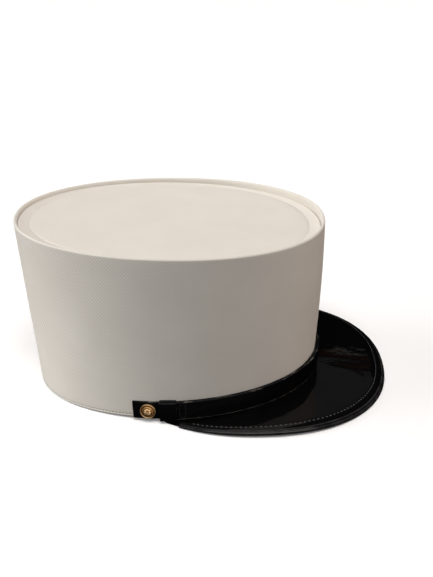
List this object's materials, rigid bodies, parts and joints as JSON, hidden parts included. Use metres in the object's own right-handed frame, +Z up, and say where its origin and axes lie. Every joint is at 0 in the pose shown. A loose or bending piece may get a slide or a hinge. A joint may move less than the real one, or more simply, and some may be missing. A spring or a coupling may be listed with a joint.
{
  "type": "military dress cap",
  "caption": "Tall white oval dress cap with a sunken top, a black leather peak with a bound edge, and a black chin strap with keepers and gilt buttons.",
  "frame": {"origin": "on the surface that the cap rests on, under the middle of its bounding box", "axes": "+Z up from the surface, -Y to the front of the cap where the peak is, +X to the wearer's left; the hem is tipped 1.37 degrees nose down, as the cap rests on its rear hem and the peak's bound edge"},
  "size_m": [0.218, 0.266, 0.1215],
  "materials": {
    "cotton_twill": "stiffened white cotton twill",
    "top_twill": "stiffened white cotton twill",
    "patent_leather": "glossy black patent leather",
    "binding_leather": "black leather with a soft shine",
    "strap_leather": "glossy black leather",
    "gilt_brass": "stamped gilt brass"
  },
  "bodies": {
    "root": {"crown_side": "cotton_twill", "crown_top": "top_twill", "peak": "patent_leather", "peak_binding": "binding_leather", "chin_strap_inner": "strap_leather", "chin_strap_outer": "strap_leather", "keeper_right": "strap_leather", "keeper_left": "strap_leather", "button_right": "gilt_brass", "button_left": "gilt_brass"}
  },
  "joints": []
}
